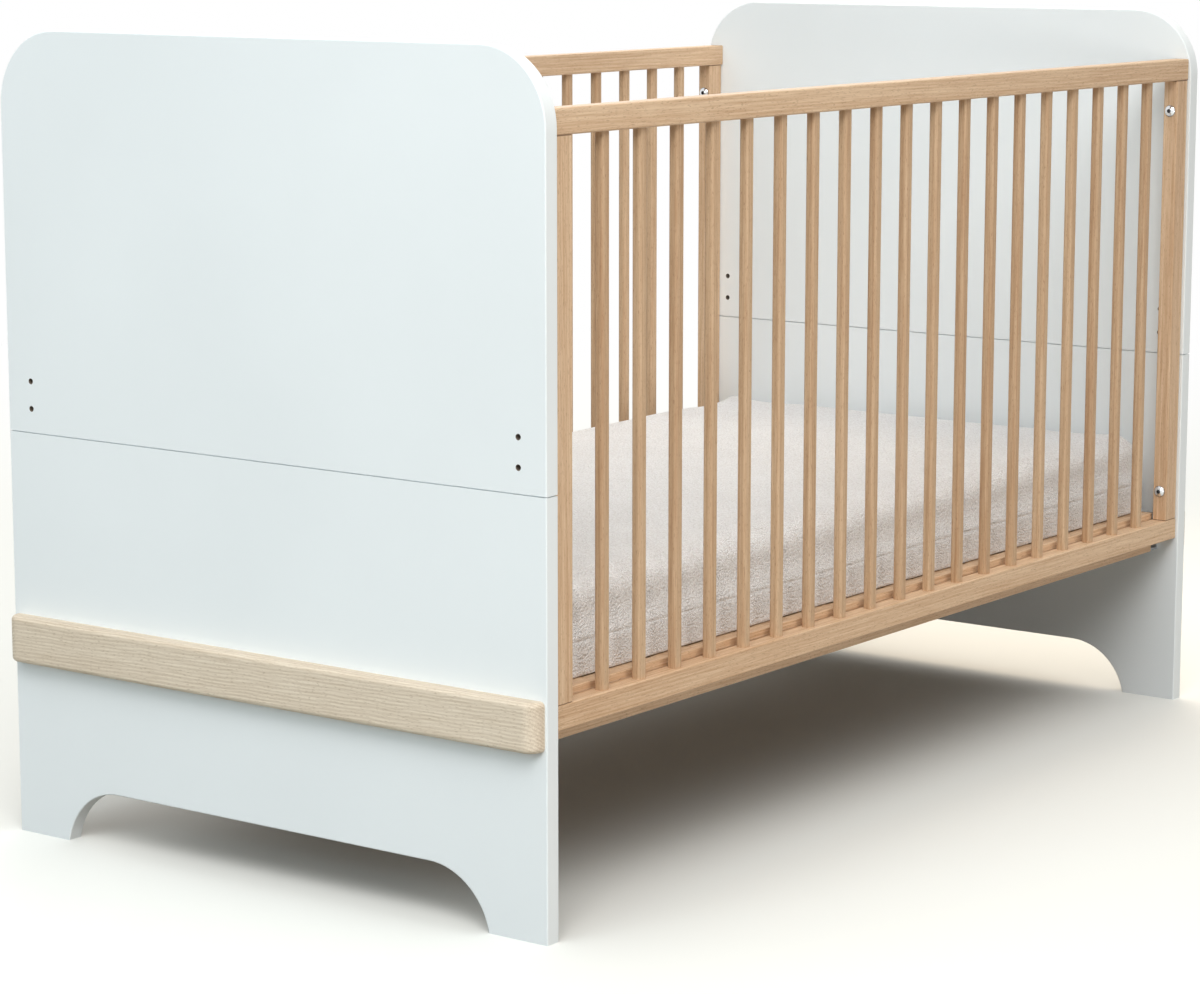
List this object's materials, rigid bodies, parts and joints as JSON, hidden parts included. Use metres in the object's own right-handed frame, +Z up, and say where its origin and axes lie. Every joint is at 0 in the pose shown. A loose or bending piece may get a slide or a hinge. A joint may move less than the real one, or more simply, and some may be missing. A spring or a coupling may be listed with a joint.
{
  "type": "baby crib",
  "caption": "Free-standing baby crib with white two-part end boards, slatted beech sides, a height-adjustable slatted base and a foam mattress.",
  "frame": {"origin": "on the floor, at the centre of the bed's footprint", "axes": "+X along the bed from the left end to the right end, +Y from the front side to the back side, +Z up"},
  "size_m": [1.478, 0.7824, 0.939],
  "materials": {
    "white_board": "matte",
    "beech": "satin",
    "strip_beech": "satin",
    "mattress_cover": "matte",
    "bright_bolt": "polished",
    "zinc_steel": "satin"
  },
  "bodies": {
    "frame": {"back_bottom_rail": "beech", "back_left_post": "beech", "back_right_post": "beech", "back_slat_01": "beech", "back_slat_02": "beech", "back_slat_03": "beech", "back_slat_04": "beech", "back_slat_05": "beech", "back_slat_06": "beech", "back_slat_07": "beech", "back_slat_08": "beech", "back_slat_09": "beech", "back_slat_10": "beech", "back_slat_11": "beech", "back_slat_12": "beech", "back_slat_13": "beech", "back_slat_14": "beech", "back_slat_15": "beech", "back_slat_16": "beech", "back_slat_17": "beech", "back_slat_18": "beech", "back_slat_19": "beech", "back_top_rail": "beech", "base_brackets": "zinc_steel", "bolts": "bright_bolt", "dowels": "beech", "front_bottom_rail": "beech", "front_left_post": "beech", "front_right_post": "beech", "front_slat_01": "beech", "front_slat_02": "beech", "front_slat_03": "beech", "front_slat_04": "beech", "front_slat_05": "beech", "front_slat_06": "beech", "front_slat_07": "beech", "front_slat_08": "beech", "front_slat_09": "beech", "front_slat_10": "beech", "front_slat_11": "beech", "front_slat_12": "beech", "front_slat_13": "beech", "front_slat_14": "beech", "front_slat_15": "beech", "front_slat_16": "beech", "front_slat_17": "beech", "front_slat_18": "beech", "front_slat_19": "beech", "front_top_rail": "beech", "insert_nuts": "zinc_steel", "left_lower_board": "white_board", "left_strip": "strip_beech", "left_upper_board": "white_board", "right_lower_board": "white_board", "right_strip": "strip_beech", "right_upper_board": "white_board"},
    "base": {"base_front_beam": "beech", "base_back_beam": "beech", "base_slats": "beech"},
    "mattress": {"mattress": "mattress_cover"}
  },
  "joints": [
    {"name": "base_height", "type": "slide", "parent": "frame", "child": "base", "axis": [0, 0, 1], "range_m": [0, 0.288]},
    {"name": "mattress_lift", "type": "slide", "parent": "base", "child": "mattress", "axis": [0, 0, 1], "range_m": [0, 0.68]}
  ]
}
